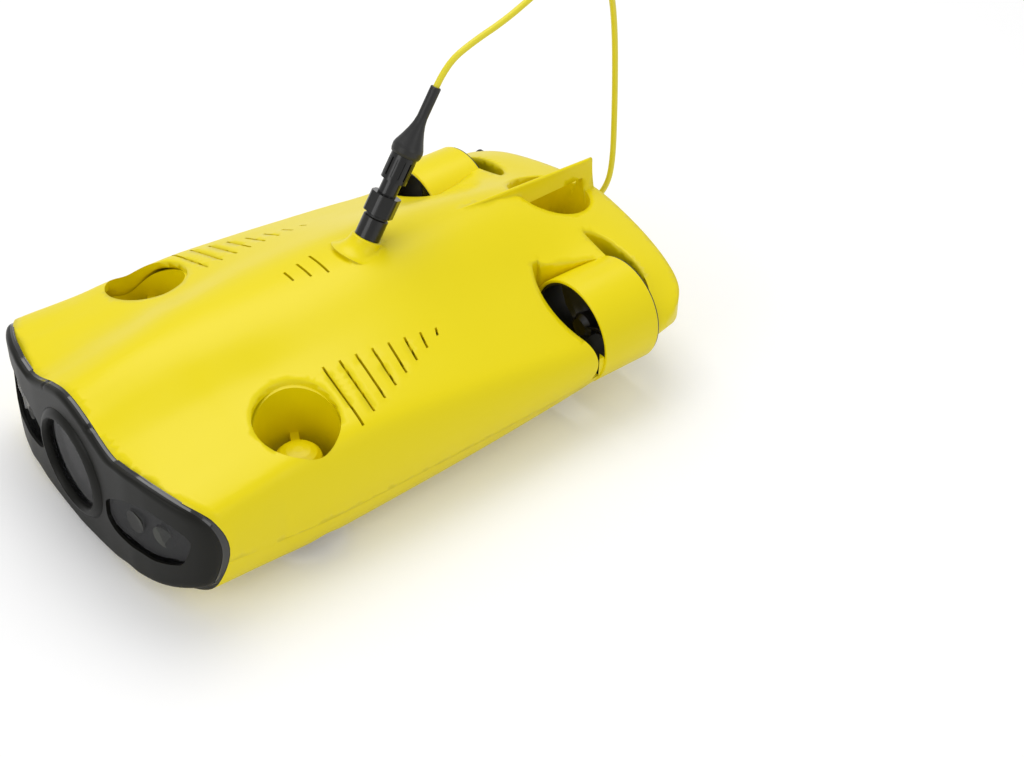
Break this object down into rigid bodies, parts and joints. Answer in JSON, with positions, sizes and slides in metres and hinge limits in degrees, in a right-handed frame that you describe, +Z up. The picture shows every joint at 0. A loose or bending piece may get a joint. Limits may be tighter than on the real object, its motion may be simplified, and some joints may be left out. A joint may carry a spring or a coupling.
{
  "type": "underwater inspection rov",
  "caption": "Low wedge-shaped underwater inspection vehicle with ducted thrusters, a front camera and lamps, a tail fin and a coiled tether.",
  "frame": {"origin": "centre of the footprint at the level the foot pads stand on, measured without the cord", "axes": "+X to port, +Y towards the tail, +Z up; the nose points along -Y"},
  "size_m": [0.3027, 0.4363, 0.2376],
  "materials": {
    "shell_yellow": "satin moulded plastic",
    "face_black": "matte",
    "trim_black": "gloss",
    "plug_black": "satin",
    "seal_rubber": "matte",
    "foot_rubber": "matte",
    "window_clear": "polished",
    "lens_glass": "polished",
    "camera_black": "matte",
    "lamp_board": "satin",
    "liner_black": "satin",
    "propeller_black": "satin",
    "motor_metal": "anodised",
    "vessel_metal": "anodised",
    "battery_wrap": "satin",
    "board_green": "satin",
    "weight_steel": "brushed",
    "screw_steel": "brushed",
    "insert_brass": "machined",
    "cord_yellow": "satin",
    "tie_black": "woven"
  },
  "bodies": {
    "vehicle": {"upper_shell": "shell_yellow", "lower_shell": "shell_yellow", "front_face": "face_black", "face_gasket": "trim_black", "camera_bezel": "trim_black", "camera_window": "window_clear", "camera_barrel": "camera_black", "camera_lens": "lens_glass", "camera_body": "camera_black", "lamp_window_port": "window_clear", "lamp_window_starboard": "window_clear", "lamp_board_port": "lamp_board", "lamp_board_starboard": "lamp_board", "duct_port": "shell_yellow", "duct_starboard": "shell_yellow", "duct_liner_port": "liner_black", "duct_liner_starboard": "liner_black", "rear_motor_port": "liner_black", "rear_motor_starboard": "liner_black", "tunnel_front_port": "shell_yellow", "tunnel_front_starboard": "shell_yellow", "hub_front_port": "shell_yellow", "hub_front_starboard": "shell_yellow", "hub_rear": "shell_yellow", "lift_motor_front_port": "motor_metal", "lift_motor_front_starboard": "motor_metal", "lift_motor_rear": "motor_metal", "pressure_hull": "vessel_metal", "pressure_lid": "vessel_metal", "lid_seal": "seal_rubber", "battery_pack": "battery_wrap", "main_board": "board_green", "motor_driver_board": "board_green", "depth_sensor": "screw_steel", "trim_weights": "weight_steel", "accessory_insert": "insert_brass", "foot_pads": "foot_rubber", "shell_screws": "screw_steel", "tether_socket": "plug_black", "socket_seal": "seal_rubber", "plug_body": "plug_black", "plug_sleeve": "seal_rubber", "strain_relief": "seal_rubber", "tether": "cord_yellow", "tether_end": "cord_yellow", "tether_coil": "cord_yellow", "coil_tie": "tie_black", "topside_connector": "plug_black"},
    "propeller_front_port": {"lift_propeller_front_port": "propeller_black"},
    "propeller_front_starboard": {"lift_propeller_front_starboard": "propeller_black"},
    "propeller_tail": {"lift_propeller_rear": "propeller_black"},
    "propeller_thrust_port": {"rear_propeller_port": "propeller_black"},
    "propeller_thrust_starboard": {"rear_propeller_starboard": "propeller_black"},
    "plug_ring": {"coupling_ring": "plug_black"}
  },
  "joints": [
    {"name": "front_port_spin", "type": "hinge", "parent": "vehicle", "child": "propeller_front_port", "pos_m": [0.081, -0.091, 0.03], "axis": [0, 0, 1], "continuous": true},
    {"name": "front_starboard_spin", "type": "hinge", "parent": "vehicle", "child": "propeller_front_starboard", "pos_m": [-0.081, -0.091, 0.03], "axis": [0, 0, 1], "continuous": true},
    {"name": "tail_spin", "type": "hinge", "parent": "vehicle", "child": "propeller_tail", "pos_m": [0, 0.157, 0.035], "axis": [0, 0, 1], "continuous": true},
    {"name": "thrust_port_spin", "type": "hinge", "parent": "vehicle", "child": "propeller_thrust_port", "pos_m": [0.0792, 0.119, 0.0495], "axis": [0, 1, 0], "continuous": true},
    {"name": "thrust_starboard_spin", "type": "hinge", "parent": "vehicle", "child": "propeller_thrust_starboard", "pos_m": [-0.0792, 0.119, 0.0495], "axis": [0, 1, 0], "continuous": true},
    {"name": "ring_turn", "type": "hinge", "parent": "vehicle", "child": "plug_ring", "pos_m": [0, 0.03875, 0.15186], "axis": [0, 0.5299, 0.848], "range_deg": [0, 90]}
  ]
}
